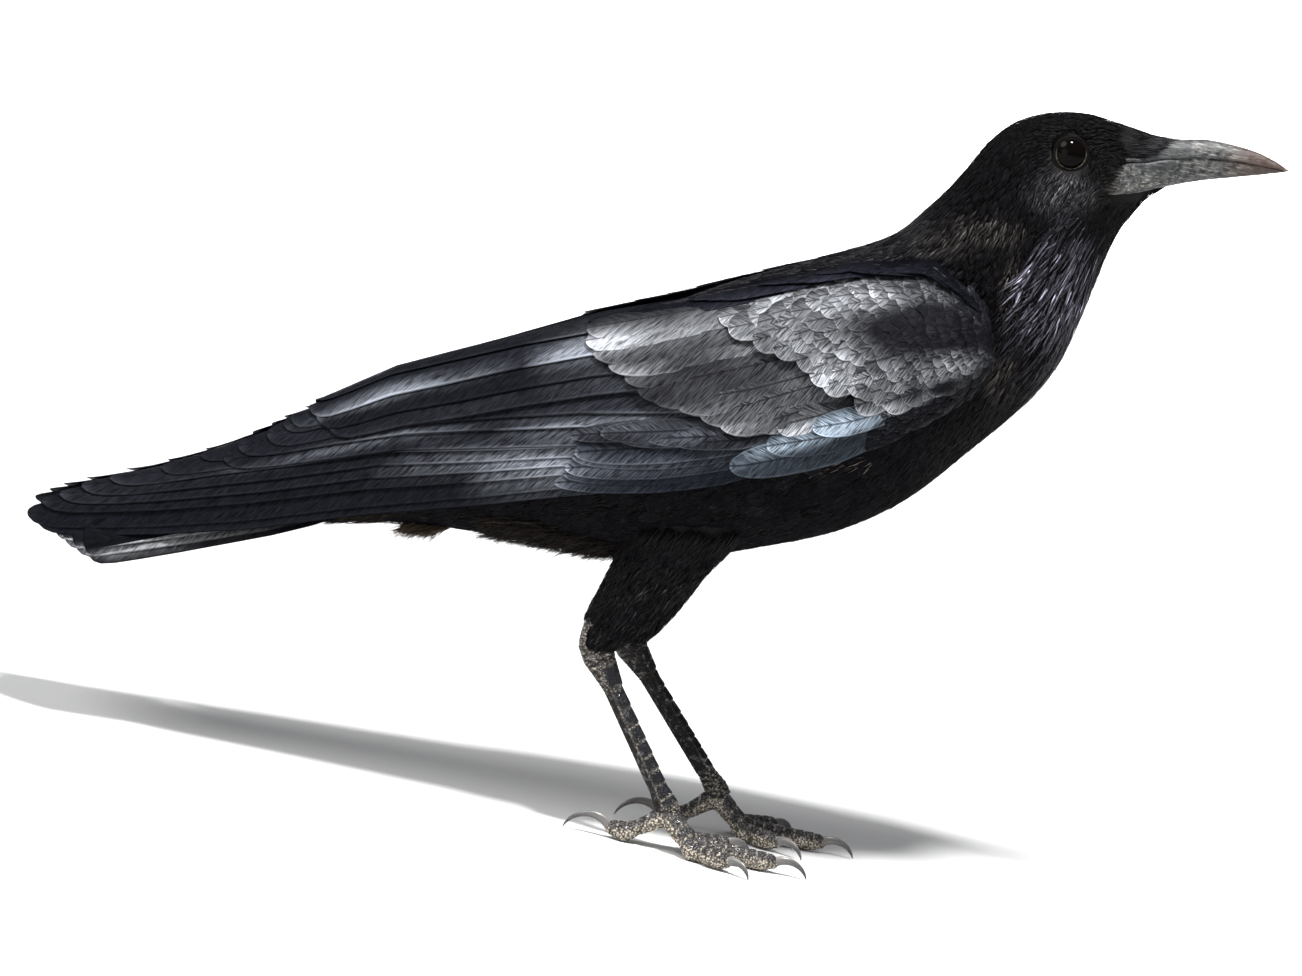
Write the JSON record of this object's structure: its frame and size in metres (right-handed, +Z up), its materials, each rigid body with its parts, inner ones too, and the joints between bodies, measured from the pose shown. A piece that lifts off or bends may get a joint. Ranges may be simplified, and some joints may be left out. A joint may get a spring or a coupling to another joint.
{
  "type": "standing crow",
  "caption": "Slim all-black crow standing alert, wings folded over a narrow tail, long slender bill held level, feet on a level floor.",
  "frame": {"origin": "middle of the whole bird's bounding box in plan, on the floor under the feet", "axes": "+X towards the tip of the bill, +Y to the bird's left, +Z up"},
  "size_m": [0.4312, 0.1076, 0.2996],
  "materials": {
    "plumage": "matt to silky black body feathers with a brown tint below",
    "flight_feathers": "silky blue-black vanes with paler edges",
    "bill": "dusty dark grey horn",
    "leg": "black scutes with dusty edges",
    "claw": "polished dark horn",
    "eye": "wet dark brown"
  },
  "bodies": {
    "root": {"torso": "plumage", "neck": "plumage", "head": "plumage", "wing_right": "flight_feathers", "wing_left": "flight_feathers", "tail": "flight_feathers", "thigh_right": "plumage", "thigh_left": "plumage", "bill_upper": "bill", "bill_lower": "bill", "eye_right": "eye", "eye_left": "eye", "shank_right": "leg", "shank_left": "leg", "foot_right": "leg", "foot_left": "leg", "claw_inner_right": "claw", "claw_middle_right": "claw", "claw_outer_right": "claw", "claw_hind_right": "claw", "claw_inner_left": "claw", "claw_middle_left": "claw", "claw_outer_left": "claw", "claw_hind_left": "claw"}
  },
  "joints": []
}
